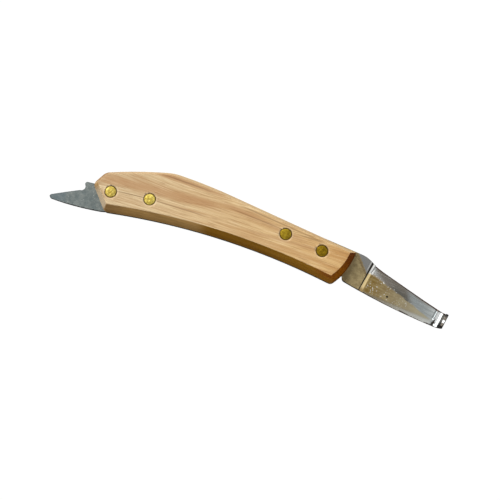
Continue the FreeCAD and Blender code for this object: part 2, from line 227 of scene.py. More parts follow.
class Graph:
    """A material's nodes, with short ways to add and wire them. Patterns are laid out in millimetres."""

    def __init__(self, name):
        self.material = bpy.data.materials.new(name)
        self.material.use_nodes = True
        self.tree = self.material.node_tree
        self.surface = self.tree.nodes["Principled BSDF"]
        self.place = self.vector("SCALE", self.add("ShaderNodeTexCoord").outputs["Object"], scale=1 / MM)
        self.normal = self.add("ShaderNodeNewGeometry").outputs["True Normal"]

    def add(self, kind, **settings):
        node = self.tree.nodes.new(kind)
        for name, value in settings.items():
            setattr(node, name, value)
        return node

    def feed(self, socket, value):
        if isinstance(value, bpy.types.NodeSocket):
            self.tree.links.new(value, socket)
        else:
            socket.default_value = value

    def wire(self, node, *values):
        """Feed a node's first inputs in order, and return the node."""
        for socket, value in zip(node.inputs, values):
            self.feed(socket, value)
        return node

    def math(self, operation, *values):
        return self.wire(self.add("ShaderNodeMath", operation=operation), *values).outputs[0]

    def plus(self, first, second):
        return self.math("ADD", first, second)

    def minus(self, first, second):
        return self.math("SUBTRACT", first, second)

    def times(self, *factors):
        product = factors[0]
        for factor in factors[1:]:
            product = self.math("MULTIPLY", product, factor)
        return product

    def vector(self, operation, *values, scale=None):
        node = self.wire(self.add("ShaderNodeVectorMath", operation=operation), *values)
        if scale is not None:
            self.feed(node.inputs["Scale"], scale)
        return node.outputs["Value" if operation in ("DOT_PRODUCT", "DISTANCE") else "Vector"]

    def stretched(self, factors, place=None, offset=(0.0, 0.0, 0.0)):
        """A place moved by an offset and scaled by its own factor along each axis."""
        moved = self.vector("ADD", place or self.place, offset)
        return self.vector("MULTIPLY", moved, factors)

    def xyz(self, x, y, z):
        return self.wire(self.add("ShaderNodeCombineXYZ"), x, y, z).outputs[0]

    def noise(self, place, scale, detail=2.0, roughness=0.5):
        node = self.add("ShaderNodeTexNoise")
        values = {"Vector": place, "Scale": scale, "Detail": detail, "Roughness": roughness}
        for name, value in values.items():
            self.feed(node.inputs[name], value)
        return node.outputs["Fac"]

    def drawn(self, lengthwise, crosswise, detail):
        """Noise over two coordinates that already have their rates."""
        return self.noise(self.xyz(lengthwise, crosswise, 0.0), 1.0, detail)

    def swing(self, pattern, span):
        """A noise turned into a shift of up to half the span to either side."""
        return self.times(self.minus(pattern, 0.5), span)

    def step(self, value, start, end):
        """0 below start and 1 above end, smooth between; the other way round if end is lower."""
        low, high, first, last = (start, end, 0.0, 1.0) if start < end else (end, start, 1.0, 0.0)
        node = self.add("ShaderNodeMapRange", interpolation_type="SMOOTHSTEP")
        return self.wire(node, value, low, high, first, last).outputs["Result"]

    def band(self, value, start, end, soft):
        """1 between start and end, fading to 0 over a soft distance at each."""
        risen = self.step(value, start - soft, start + soft)
        return self.times(risen, self.step(value, end + soft, end - soft))

    def spread(self, value, start, end, first, last):
        """Straight line from first at start to last at end, level outside them."""
        return self.wire(self.add("ShaderNodeMapRange"), value, start, end, first, last).outputs["Result"]

    def mix(self, share, base, top):
        node = self.add("ShaderNodeMix", data_type="RGBA")
        for name, value in (("Factor", share), ("A", base), ("B", top)):
            sockets = [s for s in node.inputs if s.name == name and s.enabled]
            self.feed(sockets[0], colour(value) if isinstance(value, tuple) else value)
        return [s for s in node.outputs if s.enabled][0]

    def paint(self, base, top, *masks):
        """Lay a colour over the base as strongly as all the masks together let it."""
        return self.mix(self.times(*masks), base, top)

    def axis(self, direction, offset=0.0):
        """Millimetres along a direction of the row frame, counted from offset in metres."""
        return self.minus(self.vector("DOT_PRODUCT", self.place, direction), offset / MM)

    def past_line(self, point, side):
        """Millimetres from the line through a point, counted towards its side."""
        return self.axis(side, point.dot(side))

    def reach(self, point):
        """Millimetres in plan from a point."""
        level = self.vector("MULTIPLY", self.place, (1, 1, 0))
        return self.vector("DISTANCE", level, Vector((point.x, point.y, 0.0)) / MM)

    def from_rivets(self):
        """Distance in mm to the rim of the nearest rivet head."""
        rims = [self.minus(self.reach(centre), radius / MM) for centre, radius in RIVET_AXES]
        nearest = rims[0]
        for rim in rims[1:]:
            nearest = self.math("MINIMUM", rim, nearest)
        return nearest

    def facing(self, direction):
        """How squarely the surface faces a direction, from -1 to 1."""
        return self.vector("DOT_PRODUCT", self.normal, direction)

    def rim(self, start=0.55, end=0.95):
        """1 along the sharp edges that the mesh code marked."""
        return self.step(self.add("ShaderNodeAttribute", attribute_name="rim").outputs["Fac"], start, end)

    def bump(self, height, distance_mm, under=None, strength=1.0):
        node = self.add("ShaderNodeBump")
        values = {"Height": height, "Distance": distance_mm * MM, "Strength": strength}
        if under is not None:
            values["Normal"] = under
        for name, value in values.items():
            self.feed(node.inputs[name], value)
        return node.outputs["Normal"]

    def finish(self, base, roughness, normal, metallic=0.0, specular=0.5):
        values = {"Base Color": base, "Roughness": roughness, "Normal": normal,
                  "Metallic": metallic, "Specular IOR Level": specular}
        for name, value in values.items():
            self.feed(self.surface.inputs[name], value)
        return self.material


def colour(rgb):
    """Linear colour from an ordinary 0 to 255 one."""
    linear = [(c / 255 / 12.92) if c <= 10 else ((c / 255 + 0.055) / 1.055) ** 2.4 for c in rgb]
    return (*linear, 1.0)


# ---------------------------------------------------------------- wood

# Colours; a pair runs from its first to its second by a noise, or as its comment says
PALE = ((218, 198, 160), (226, 190, 132))           # butt to front
TAN = ((186, 156, 118), (196, 148, 90))             # butt to front
DARK_FIBRE = (168, 122, 78)
LIGHT_FIBRE = (242, 218, 178)
STREAK = (180, 136, 94)
GRAIN_LINE = (128, 92, 60)
PORE = (142, 100, 62)
# the ring round the rivets: pale sanded wood with a painted sheen
RIVET_SHEEN_RING = (240, 216, 178)
RIVET_GAP = (58, 44, 34)
# Belly colours: the wood's own tone darkened by painted shade, as the belly faces away from the light
BELLY_BUTT = ((204, 158, 96), (232, 182, 108))      # butt to middle
BELLY_MIDDLE = ((178, 122, 4), (194, 136, 24))      # middle to front
BELLY_FRONT = ((204, 134, 24), (176, 96, 0))        # steel to outer face
BELLY_DARK = ((150, 112, 62), (132, 84, 0))         # butt to front
# End grain colours: its own orange brown darkened by painted shade; the foot colour is a painted contact
# shadow
END_GRAIN = ((194, 114, 4), (136, 70, 0))
END_GRAIN_SPINE = (112, 40, 0)
END_GRAIN_FOOT_SHADOW = (84, 34, 0)
# A painted sheen on the pale butt end, and painted light on the spine side
BUTT_END_SHEEN = (236, 220, 192)
SPINE = (222, 192, 146)
SPINE_EDGE = (150, 110, 70)
BARE_WOOD = ((176, 140, 98), (140, 104, 66))

# Noises along the grain: rate along and across for each mm, offset, detail, roughness
GRAIN = {
    "broad": (0.010, 0.16, 3.0, 3.0, 0.55),
    "medium": (0.022, 0.75, 11.0, 3.0, 0.6),
    "fine": (0.05, 1.5, 7.0, 4.0, 0.7),
    "pores": (0.12, 2.6, 1.0, 2.0, 0.6),
}
DRIFT_RATES = (0.012, 0.05, 0.05)
GRAIN_WANDER = 7.0

# Darker streaks: start and end as shares of the handle's box, half width in mm, strength
STREAKS = [
    ((0.02, 0.50), (0.46, 0.64), 2.3, 0.55),
    ((0.22, 0.86), (0.50, 0.84), 1.3, 0.60),
    ((0.48, 0.72), (0.80, 0.52), 1.4, 0.50),
    ((0.00, 0.72), (0.30, 0.90), 1.1, 0.45),
    ((0.60, 0.40), (0.90, 0.44), 0.9, 0.45),
    ((0.56, 0.30), (0.92, 0.28), 1.2, 0.12),
]
STREAK_SWAY = 0.35

# Fine dark grain lines, laid out in the same way
GRAIN_LINES = [
    ((0.10, 0.36), (0.23, 0.40), 0.30, 0.75),
    ((0.23, 0.40), (0.42, 0.41), 0.30, 0.60),
    ((0.785, 0.585), (0.87, 0.58), 0.45, 0.50),
    ((0.52, 0.66), (0.70, 0.60), 0.30, 0.50),
    ((0.25, 0.87), (0.42, 0.845), 0.40, 0.55),
    ((0.56, 0.757), (0.87, 0.590), 0.40, 0.50),
]
GRAIN_LINE_SWAY = 0.1
LONGEST_FADE = 6.0                  # mm over which a streak's ends fade, unless it is short


def streak_mask(g, start, end, half_width, wander):
    """A soft streak along the grain between two points on the handle."""
    first, last = on_handle(*start), on_handle(*end)
    length = (last - first).length / MM
    along = (last - first).normalized()
    side = Vector((-along.y, along.x, 0.0))
    across = g.plus(g.past_line(first, side), wander)
    body = g.step(g.math("ABSOLUTE", across), half_width * 1.6, half_width * 0.2)
    reach = g.past_line(first, along)
    fade = min(LONGEST_FADE, length / 3)
    return g.times(body, g.step(reach, -fade, fade), g.step(reach, length + fade, length - fade))


def grain_noises(g, seed):
    """How far the grain wanders in mm, and the noises that follow it."""
    drift = g.noise(g.stretched(DRIFT_RATES, offset=(seed, 0, 0)), 1.0, 1.0)
    wander = g.swing(drift, GRAIN_WANDER)
    bent = g.vector("ADD", g.place, g.xyz(0.0, wander, 0.0))
    grain = {}
    for kind, (along, across, offset, detail, roughness) in GRAIN.items():
        place = g.stretched((along, across, across), bent, (seed, offset, 0))
        grain[kind] = g.noise(place, 1.0, detail, roughness)
    return wander, grain


def grain_colours(g, share, wander, grain):
    """Pale wood with tan streaks, dark and light fibres, grain lines and pores."""
    pale = g.mix(share, *PALE)
    tan = g.mix(share, *TAN)
    base = g.mix(g.step(grain["broad"], 0.36, 0.68), pale, tan)
    base = g.paint(base, tan, g.step(grain["medium"], 0.42, 0.66), 0.5)
    base = g.paint(base, DARK_FIBRE, g.step(grain["fine"], 0.50, 0.66), 0.55)
    base = g.paint(base, LIGHT_FIBRE, g.step(grain["fine"], 0.46, 0.32), 0.45)
    for start, end, half_width, strength in STREAKS:
        mask = streak_mask(g, start, end, half_width, g.times(wander, STREAK_SWAY))
        base = g.paint(base, STREAK, mask, strength)
    for start, end, half_width, strength in GRAIN_LINES:
        mask = streak_mask(g, start, end, half_width, g.times(wander, GRAIN_LINE_SWAY))
        base = g.paint(base, GRAIN_LINE, mask, strength)
    return g.paint(base, PORE, g.step(grain["pores"], 0.56, 0.70), 0.45)


def rivet_rings(g, base, level):
    """A pale sanded ring with a painted sheen round each rivet head, and a dark gap against it."""
    ring = g.from_rivets()
    # pale sanded ring with a painted sheen
    base = g.paint(base, RIVET_SHEEN_RING, g.band(ring, 0.35, 1.0, 0.3), level, 0.22)
    return g.paint(base, RIVET_GAP, g.step(ring, 0.38, 0.08), level, 0.8)


def belly_painted_shade(g, base, side, share, depth, medium):
    """The drafted belly, the wood's tone under painted shade: tan near the butt, olive in the middle, brown
    at the front, darker at its foot.
    """
    belly = g.times(side, g.step(g.facing(Y), 0.2, -0.4))
    butt = g.mix(g.step(share, 0.08, 0.18), *BELLY_BUTT)
    middle = g.mix(g.step(share, 0.62, 0.78), *BELLY_MIDDLE)
    front = g.mix(g.step(depth, 0.25, 0.8), *BELLY_FRONT)
    warm = g.step(share, 0.40, 0.47)
    shade = g.mix(warm, butt, middle)
    shade = g.mix(g.step(share, 0.84, 0.93), shade, front)
    dark = g.mix(warm, *BELLY_DARK)
    # painted shade at the belly's foot, next to the steel
    shade = g.paint(shade, dark, g.step(depth, 0.65, 0.05), 0.5)
    shade = g.paint(shade, dark, g.step(medium, 0.45, 0.6), 0.3)
    return g.paint(base, shade, belly, 0.97)


def front_end_painted_shade(g, base, side, depth):
    """End grain next to the blade: orange brown, its own tone under painted shade, darker towards the spine,
    and with a painted contact shadow at its foot.
    """
    rings = g.noise(g.stretched((1.2, 0.9, 1.6)), 1.0, 2.0, 0.7)
    shade = g.mix(g.step(rings, 0.35, 0.65), *END_GRAIN)
    towards_spine = g.step(g.axis(ACROSS, BLADE_LOW), 3.0, 13.0)
    shade = g.paint(shade, END_GRAIN_SPINE, towards_spine, 0.75)
    # painted contact shadow at the foot, against the steel
    shade = g.paint(shade, END_GRAIN_FOOT_SHADOW, g.step(depth, 0.35, 0.0), 0.4)
    return g.paint(base, shade, side, g.step(g.facing(X), 0.55, 0.85), 0.97)


def butt_and_spine(g, base, side, up, level):
    """A pale lower half of the butt end with a painted sheen, painted light on the spine side, and browner
    edges along the spine.
    """
    lower = g.times(g.step(g.facing(Y), 0.45, 0.1), g.step(g.axis(Y), 0.0, -5.0))
    # painted sheen on the pale lower half of the butt end
    base = g.paint(base, BUTT_END_SHEEN, side, g.step(g.facing(X), -0.5, -0.8), lower, 0.75)
    spine = g.times(g.step(up, 0.97, 0.85), g.step(g.facing(Y), 0.1, 0.3))
    # painted light: the spine side lighter, as it faces the light
    base = g.paint(base, SPINE, spine, 0.5)
    base = g.paint(base, SPINE_EDGE, spine, g.step(g.facing(X), -0.2, -0.5), 0.85)
    return g.paint(base, SPINE_EDGE, g.rim(0.2, 0.7), level, 0.75)


def wood_material(name, seed):
    """Pale close-grained hardwood, oiled, with sides and end grain darker in their own tone and by painted
    shade, and painted light on the spine side and butt end.
    """
    g = Graph(name)
    wander, grain = grain_noises(g, seed)
    # share runs from the butt to the front, and depth from the steel to the outer face
    share = g.spread(g.axis(X), HANDLE_BUTT_X / MM, HANDLE_FRONT_X / MM, 0.0, 1.0)
    depth = g.spread(g.axis(Z), STEEL_TOP / MM, SCALE_FRONT[1].z / MM, 0.0, 1.0)
    # level is 1 on the flat faces, and side is 1 on the drafted ones
    up = g.math("ABSOLUTE", g.facing(Z))
    level = g.step(up, 0.9, 0.97)
    side = g.step(up, 0.80, 0.55)
    base = grain_colours(g, share, wander, grain)
    base = rivet_rings(g, base, level)
    base = belly_painted_shade(g, base, side, share, depth, grain["medium"])
    base = front_end_painted_shade(g, base, side, depth)
    base = butt_and_spine(g, base, side, up, level)
    fibres = g.bump(grain["fine"], 0.05, strength=0.5)
    normal = g.bump(grain["pores"], 0.04, fibres, strength=0.5)
    roughness = g.spread(grain["medium"], 0.3, 0.7, 0.45, 0.6)
    return g.finish(base, roughness, normal, specular=0.1)


def bare_wood_material(name, seed):
    """Unfinished wood inside the bores and against the steel."""
    g = Graph(name)
    fine = g.noise(g.stretched((0.06, 2.0, 2.0), offset=(seed, 7.0, 0)), 1.0, 2.0, 0.6)
    base = g.mix(g.step(fine, 0.4, 0.7), *BARE_WOOD)
    return g.finish(base, 0.75, g.bump(fine, 0.08))


# ---------------------------------------------------------------- brass and steel

# Colours, as for the wood
BRASS_PATCH = (112, 88, 24)
# painted shade on the rivet heads' rounded rims
BRASS_RIM_SHADE = (74, 56, 18)
TUMBLED = ((98, 107, 106), (120, 126, 123))
TUMBLED_GRIT = (84, 92, 94)
TUMBLED_SPECK = (196, 200, 198)
PICK_TIP = (72, 86, 94)
PICK_RIM = (60, 66, 66)
RICASSO = ((156, 138, 98), (180, 162, 118))
RICASSO_GRIT = (128, 112, 82)
RICASSO_CORNER = (134, 134, 131)
RICASSO_LINE = (104, 84, 60)
RICASSO_RIM = (44, 40, 34)
RICASSO_GLINT = (206, 206, 202)
# Shoulder colours: painted reflections on the cove, and painted shade on the wall and its foot
COVE = ((250, 224, 164), (252, 253, 250))           # lower edge to spine
COVE_LOW = (176, 148, 98)
COVE_LINE = (150, 148, 142)
COVE_END = (158, 132, 80)
WALL_FOOT = (104, 88, 58)
WALL = (22, 22, 18)
BEVEL = ((182, 183, 180), (134, 127, 117))          # shoulder to middle
BEVEL_DUSK = (127, 120, 109)
BEVEL_DAWN = (172, 172, 168)
BEVEL_DARK_MIDDLE = (104, 101, 93)
BEVEL_COOL = (164, 171, 171)
BEVEL_END = (198, 205, 204)
DRAWN_DARK = (128, 130, 126)
DRAWN_LIGHT = (226, 228, 226)
LOW_BEVEL = ((154, 138, 104), (232, 235, 230))      # shoulder to hook
STRAW = ((142, 112, 50), (172, 150, 98))
STRAW_END = (196, 190, 164)
# painted highlight along the crease
CREASE_HIGHLIGHT = (206, 194, 172)
FLECK = (250, 250, 244)
PIT = (24, 18, 12)
# painted reflection beside the cove at the spine, and a grey gap in the painted reflections before the hook
SHOULDER_REFLECTION = (250, 251, 248)
RUN_OUT = (142, 148, 148)
BLADE_RIM = (70, 50, 38)
CURL_LIGHT = (200, 205, 204)
CURL_WHITE = (252, 254, 253)
CURL_LENS = (66, 66, 60)
CURL_GREY = (96, 96, 92)
CURL_DARK = ((30, 30, 28), (104, 100, 92))          # lower edge to cutting edge
CURL_BLACK = (8, 8, 9)
HOOK = ((176, 180, 180), (196, 200, 200))
HOOK_RIM = (44, 34, 28)
HOOK_EDGE = (60, 46, 38)
# Lip colours are painted reflections: a dark brownish base, a highlight spot, a dark corner and a dark foot
LIP = ((104, 98, 88), (84, 76, 66))
LIP_HIGHLIGHT = (236, 238, 238)
LIP_CORNER = (26, 22, 20)
LIP_FOOT = (30, 28, 28)
LIP_RIM = (44, 38, 34)
BACK = ((140, 140, 134), (158, 158, 152))
SAWN = ((38, 38, 38), (58, 48, 38))
MILLED = ((78, 72, 64), (104, 92, 76))

# Rubbed and dull brass of each rivet: bright on the two near the butt, olive on the others
BRASS = {
    1: ((206, 186, 98), (160, 136, 58)),
    2: ((226, 206, 108), (160, 136, 54)),
    3: ((194, 166, 48), (136, 108, 26)),
    4: ((180, 146, 34), (112, 86, 16)),
}


def brass_material(name, seed, rubbed, dull):
    """Hand-set brass: bright where rubbed, olive in the dull patches and dark towards the rim, where the
    shade is painted.
    """
    g = Graph(name)
    cloud = g.noise(g.vector("ADD", g.place, (seed, 0, 0)), 0.7, 3.0, 0.6)
    fine = g.noise(g.vector("ADD", g.place, (0, seed, 0)), 3.0, 2.0)
    base = g.mix(g.step(cloud, 0.30, 0.70), dull, rubbed)
    base = g.paint(base, BRASS_PATCH, g.step(fine, 0.55, 0.70), 0.5)
    # painted shade on the head's rounded rim
    base = g.paint(base, BRASS_RIM_SHADE, g.step(g.from_rivets(), -0.65, -0.10), 0.65)
    roughness = g.spread(cloud, 0.3, 0.7, 0.5, 0.4)
    return g.finish(base, roughness, g.bump(fine, 0.025, strength=0.4), metallic=1.0)


def pick_material():
    """Blanked and tumbled steel: matte, mottled, with small bright specks."""
    g = Graph("steel_tumbled")
    cloud = g.noise(g.place, 0.35, 4.0, 0.6)
    grit = g.noise(g.place, 1.6, 3.0, 0.65)
    base = g.mix(g.step(cloud, 0.35, 0.65), *TUMBLED)
    base = g.paint(base, TUMBLED_GRIT, g.step(grit, 0.45, 0.7), 0.4)
    base = g.paint(base, TUMBLED_SPECK, g.step(grit, 0.34, 0.29), 0.85)
    tip = g.step(g.axis(X, HANDLE_BUTT_X), -10.0, -16.0)
    base = g.paint(base, PICK_TIP, tip, 0.45)
    base = g.paint(base, PICK_RIM, g.rim(), 0.5)
    return g.finish(base, 0.62, g.bump(grit, 0.05, g.bump(cloud, 0.12), strength=0.6), metallic=0.7)


# The steel's finishes are laid out in mm by four coordinates: along counts from the shoulder towards the
# hook, up from the lower edge towards the cutting edge, hook from the hook's start along the blade, and
# outside from the cutting edge away from the blade.

def past_shoulder(g):
    return g.axis(ALONG, SHOULDER)


def over_low_edge(g):
    return g.axis(ACROSS, BLADE_LOW)


def past_hook_start(g):
    return g.axis(ALONG, HOOK_START)


def past_cutting_edge(g):
    return g.past_line(EDGE, EDGE_SIDE)


def ricasso_material():
    """Heat-tinted, scuffed steel with a grey polished corner next to the shoulder."""
    g = Graph("steel_ricasso")
    along, up = past_shoulder(g), over_low_edge(g)
    cloud = g.noise(g.place, 0.4, 3.0, 0.6)
    grit = g.noise(g.place, 1.8, 3.0, 0.65)
    base = g.mix(g.step(cloud, 0.35, 0.65), *RICASSO)
    base = g.paint(base, RICASSO_GRIT, g.step(grit, 0.5, 0.7), 0.4)
    first, last = on_blade(-7.7, 16.6), on_blade(-2.4, 12.0)
    corner = g.plus(g.past_line(first, Z.cross(last - first).normalized()), g.swing(grit, 2.5))
    base = g.mix(g.step(corner, -0.2, 0.3), base, RICASSO_CORNER)
    base = g.paint(base, RICASSO_LINE, g.band(corner, -1.2, -0.1, 0.3), 0.55)
    base = g.paint(base, RICASSO_RIM, g.rim(), 0.75)
    base = g.paint(base, RICASSO_GLINT, g.band(along, -0.75, -0.45, 0.15), g.step(up, 10.0, 13.0))
    return g.finish(base, 0.5, g.bump(grit, 0.05, strength=0.5), metallic=0.7)


def shoulder_material():
    """The wall and cove at the grind shoulder, with painted reflections and painted shade: white at the
    spine, golden below it, dark along the wall.
    """
    g = Graph("steel_shoulder")
    along, up = past_shoulder(g), over_low_edge(g)
    cloud = g.noise(g.place, 0.8, 2.0)
    ragged = g.plus(up, g.minus(cloud, 0.5))
    # where the polished cove shows a painted white reflection, towards the spine
    polished = g.step(ragged, 10.4, 11.4)
    base = g.mix(polished, *COVE)
    base = g.mix(g.step(up, 3.2, 0.6), base, COVE_LOW)
    base = g.paint(base, COVE_LINE, polished, g.band(along, 2.0, 2.2, 0.12))
    wall = g.minus(along, g.spread(up, 0.0, 16.0, 0.25, 0.80))
    # painted shade on the wall and its foot, which face away from the light
    base = g.mix(g.step(wall, 0.35, 0.1), base, WALL_FOOT)
    base = g.mix(g.step(wall, 0.15, -0.15), base, WALL)
    base = g.paint(base, COVE_END, g.step(ragged, 11.4, 10.4), g.step(along, 1.9, 2.5))
    return g.finish(base, 0.4, g.bump(cloud, 0.02), metallic=0.35)


def bevel_colour(g, along, bevel, outside, drawn):
    """The satin bevel: light by the shoulder, dark brown in the middle, cool grey to white at the hook."""
    rise = g.math("DIVIDE", bevel, g.minus(bevel, outside))
    base = g.mix(g.step(along, 2.5, 9.0), *BEVEL)
    dusk = g.times(g.step(rise, 0.25, 0.8), g.step(along, 22.0, 14.0))
    base = g.paint(base, BEVEL_DUSK, dusk, g.step(along, 3.0, 5.0))
    base = g.paint(base, BEVEL_DAWN, g.step(rise, 0.45, 0.1), g.band(along, 3.0, 10.0, 2.0), 0.5)
    base = g.paint(base, BEVEL_DARK_MIDDLE, g.band(along, 16.0, 27.5, 2.5), g.step(bevel, 5.5, 0.5), 0.9)
    cool = g.step(g.plus(along, g.times(bevel, 0.8)), 24.5, 31.5)
    base = g.paint(base, BEVEL_COOL, cool, g.step(bevel, 6.0, 3.5))
    base = g.mix(g.step(along, 33.0, BLADE_LENGTH), base, BEVEL_END)
    base = g.paint(base, DRAWN_DARK, g.step(drawn, 0.52, 0.68), 0.45)
    return g.paint(base, DRAWN_LIGHT, g.step(drawn, 0.46, 0.30), 0.35)


def flat_colour(g, base, along, up, bevel, cloud, drawn):
    """The brown flat below the crease, the narrow bevel under it and a painted highlight along the crease."""
    ragged = g.plus(bevel, g.swing(cloud, 1.6))
    below = g.step(ragged, 0.3, -0.7)
    strip = g.minus(up, g.spread(along, 0.0, BLADE_LENGTH, -0.6, 3.2))
    low_strip = g.mix(g.spread(along, 4.0, BLADE_LENGTH, 0.0, 1.0), *LOW_BEVEL)
    base = g.paint(base, low_strip, below, g.step(strip, 1.6, -0.2))
    tint = g.mix(g.step(g.plus(cloud, drawn), 0.8, 1.2), *STRAW)
    tint = g.mix(g.spread(along, 4.0, 38.0, 0.0, 0.85), tint, STRAW_END)
    before_hook = g.step(along, BLADE_LENGTH, BLADE_LENGTH - 6.0)
    base = g.paint(base, tint, below, g.step(strip, -0.2, 1.6), before_hook)
    # painted highlight along the crease
    base = g.paint(base, CREASE_HIGHLIGHT, g.band(bevel, -0.5, 0.3, 0.4), g.step(along, 16.0, 5.0), 0.5)
    return blade_flecks(g, base, along, g.step(ragged, 0.8, 0.0))


def blade_flecks(g, base, along, flat):
    """Bright flecks in clusters, and one dark pit."""
    speck = g.noise(g.place, 1.35, 0.0, 0.4)
    cluster = g.noise(g.vector("ADD", g.place, (3.0, 0, 0)), 0.25, 1.0)
    fleck_mask = g.times(g.step(speck, 0.67, 0.73), g.step(cluster, 0.40, 0.6), g.step(along, 36.0, 26.0))
    base = g.paint(base, FLECK, fleck_mask, flat)
    return g.mix(g.step(g.reach(on_blade(15.4, 4.1)), 0.8, 0.35), base, PIT)


def curl_bands(g, base, hook, up):
    """Light and dark bands that the polished curl mirrors, each at its distance past the hook's start."""
    rise = g.math("MAXIMUM", g.minus(up, 3.2), 0.0)
    light = g.minus(hook, g.minus(g.times(rise, 0.2), 2.0))
    base = g.mix(g.step(light, -0.3, 0.4), base, CURL_LIGHT)
    base = g.mix(g.band(hook, -0.6, 0.4, 0.15), base, CURL_WHITE)
    lens = g.minus(hook, g.minus(g.times(rise, 0.42), 1.3))
    base = g.paint(base, CURL_LENS, g.step(lens, -0.15, 0.25), g.step(hook, 0.25, -0.05))
    base = g.mix(g.step(hook, 1.7, 2.6), base, CURL_GREY)
    dark = g.mix(g.step(up, 5.0, 8.0), *CURL_DARK)
    base = g.mix(g.band(hook, 2.9, 3.8, 0.3), base, dark)
    return g.paint(base, CURL_BLACK, g.step(up, 6.0, 3.0), g.step(hook, 1.9, 2.6))


def blade_material():
    """The ground blade: a brown, flecked flat below the crease and a satin bevel above it, with painted
    reflections by the shoulder and before the hook.
    """
    g = Graph("steel_blade")
    along, up = past_shoulder(g), over_low_edge(g)
    hook, outside = past_hook_start(g), past_cutting_edge(g)
    bevel = g.past_line(CREASE, CREASE_SIDE)
    cloud = g.noise(g.place, 0.35, 3.0, 0.6)
    drawn = g.drawn(g.times(along, 0.10), g.times(up, 0.9), 3.0)
    lines = g.drawn(g.times(along, 0.25), g.times(up, 4.0), 2.0)
    base = bevel_colour(g, along, bevel, outside, drawn)
    base = flat_colour(g, base, along, up, bevel, cloud, drawn)
    # painted reflection beside the cove, towards the spine
    base = g.paint(base, SHOULDER_REFLECTION, g.step(along, 3.3, 2.9), g.step(up, 10.4, 11.4))
    base = curl_bands(g, base, hook, up)
    # grey gap in the painted reflections just before the hook
    base = g.paint(base, RUN_OUT, g.band(hook, -2.2, -0.65, 0.15), g.step(up, 4.5, 6.0))
    base = g.paint(base, BLADE_RIM, g.rim(0.2, 0.55), 0.9)
    brink = g.plus(outside, g.spread(along, 32.0, BLADE_LENGTH, 0.0, 0.35))
    base = g.paint(base, BLADE_RIM, g.step(brink, -0.75, -0.35), 0.9)
    roughness = g.spread(lines, 0.3, 0.7, 0.34, 0.44)
    return g.finish(base, roughness, g.bump(lines, 0.012, strength=0.4), metallic=0.65)


def hook_material():
    """Polished steel inside and outside the curl, with a dark line along its edges."""
    g = Graph("steel_hook")
    up, hook, outside = over_low_edge(g), past_hook_start(g), past_cutting_edge(g)
    lines = g.drawn(g.axis(Z), g.times(up, 4.0), 2.0)
    base = g.mix(g.step(lines, 0.35, 0.65), *HOOK)
    base = curl_bands(g, base, hook, up)
    base = g.paint(base, HOOK_RIM, g.rim(0.15, 0.5), 0.9)
    base = g.paint(base, HOOK_EDGE, g.step(outside, -0.8, -0.4), 0.9)
    return g.finish(base, 0.4, g.bump(lines, 0.01, strength=0.4), metallic=0.75)


def lip_material():
    """The hook's end, coloured as painted reflections: brownish and dark, with one bright spot of painted
    highlight and a dark corner towards the cutting edge.
    """
    g = Graph("steel_lip")
    up = over_low_edge(g)
    grit = g.noise(g.place, 1.4, 2.0)
    base = g.mix(grit, *LIP)
    # painted highlight: one bright spot on the lip
    base = g.mix(g.band(up, 4.9, 6.3, 0.5), base, LIP_HIGHLIGHT)
    # painted dark reflections at the corner towards the cutting edge and at the foot
    base = g.mix(g.step(up, 7.6, 9.0), base, LIP_CORNER)
    base = g.mix(g.step(up, 3.6, 2.6), base, LIP_FOOT)
    base = g.paint(base, LIP_RIM, g.rim(0.5, 1.0), 0.5)
    return g.finish(base, 0.55, g.bump(grit, 0.02), metallic=0.5)


def back_material():
    """The flat back of ricasso, blade and hook foot: ground lengthwise and left satin."""
    g = Graph("steel_back")
    lines = g.drawn(g.times(g.axis(ALONG), 0.2), g.times(g.axis(ACROSS), 4.0), 3.0)
    cloud = g.noise(g.place, 0.3, 3.0, 0.6)
    base = g.mix(g.step(cloud, 0.35, 0.65), *BACK)
    roughness = g.spread(lines, 0.3, 0.7, 0.3, 0.45)
    return g.finish(base, roughness, g.bump(lines, 0.02, strength=0.5), metallic=0.9)


def dark_steel_material(name, scale, dark, brown):
    """Steel left as it was sawn or rolled: gritty, with brown patches."""
    g = Graph(name)
    grit = g.noise(g.place, scale, 3.0, 0.6)
    base = g.mix(g.step(grit, 0.4, 0.6), dark, brown)
    return g.finish(base, 0.5, g.bump(grit, 0.04, strength=0.5), metallic=0.85)


def steel_materials():
    return {
        "pick": pick_material(),
        "ricasso": ricasso_material(),
        "shoulder": shoulder_material(),
        "blade": blade_material(),
        "hook": hook_material(),
        "lip": lip_material(),
        "back": back_material(),
        "edges": dark_steel_material("steel_edges", 1.6, *SAWN),
        "tang": dark_steel_material("steel_tang", 1.2, *MILLED),
    }


# ---------------------------------------------------------------- meshes

def welded_copy(node):
    """An editable copy of a CAD node's mesh, with the vertices split at its edges joined again."""
    shape = bmesh.new()
    shape.from_mesh(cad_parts[node].data)
    bmesh.ops.remove_doubles(shape, verts=shape.verts, dist=WELD)
    bmesh.ops.dissolve_limit(shape, angle_limit=FACET_ANGLE, verts=shape.verts, edges=shape.edges)
    return shape


def cut_across(shape, direction, place, faces):
    """Cut some faces with the plane square to a direction."""
    edges = {e for f in faces for e in f.edges}
    verts = {v for f in faces for v in f.verts}
    bmesh.ops.bisect_plane(shape, geom=[*verts, *edges, *faces], dist=WELD,
                           plane_co=direction * place, plane_no=direction)


def slice_faces(shape, direction, spacing, finishes):
    """Cut the faces with these finishes at evenly spaced planes, so that they can take relief."""
    wanted = [f for f in shape.faces if f.material_index in finishes]
    places = [v.co.dot(direction) for f in wanted for v in f.verts]
    place = min(places) + spacing
    while place < max(places):
        crossed = []
        for face in shape.faces:
            if face.material_index in finishes:
                reach = [v.co.dot(direction) for v in face.verts]
                if min(reach) < place < max(reach):
                    crossed.append(face)
        if crossed:
            cut_across(shape, direction, place, crossed)
        place += spacing


